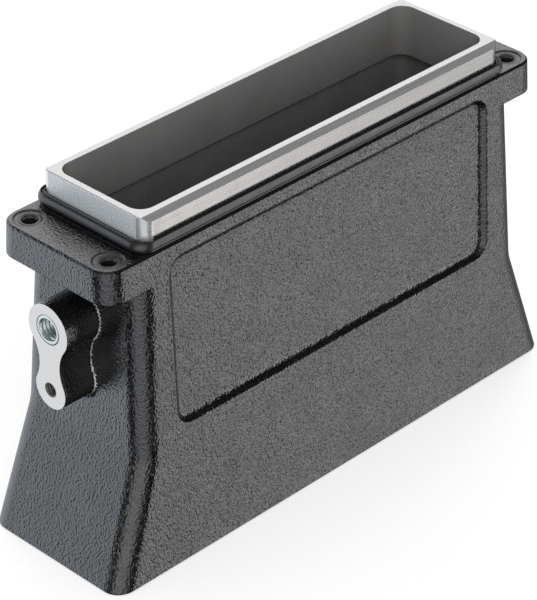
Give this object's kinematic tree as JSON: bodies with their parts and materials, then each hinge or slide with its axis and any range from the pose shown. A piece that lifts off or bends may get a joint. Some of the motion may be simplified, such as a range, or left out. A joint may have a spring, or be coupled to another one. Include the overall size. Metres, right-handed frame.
{
  "type": "heavy duty rectangular connector housing",
  "caption": "Black die-cast rectangular connector housing with a bare machined rim, rubber seal, drilled end flanges and a threaded fixing boss on each end.",
  "frame": {"origin": "centre of the closed foot, on the surface that it stands on", "axes": "+X along the housing, +Y across it, +Z from the foot up to the mating rim"},
  "size_m": [0.1532, 0.0454, 0.0944],
  "materials": {
    "coated_aluminium": "fine textured powder coat, bare on the rim and boss faces",
    "seal_rubber": "smooth satin",
    "plated_steel": "zinc plated"
  },
  "bodies": {
    "root": {"housing": "coated_aluminium", "seal": "seal_rubber", "insert_left": "plated_steel", "insert_right": "plated_steel"}
  },
  "joints": []
}
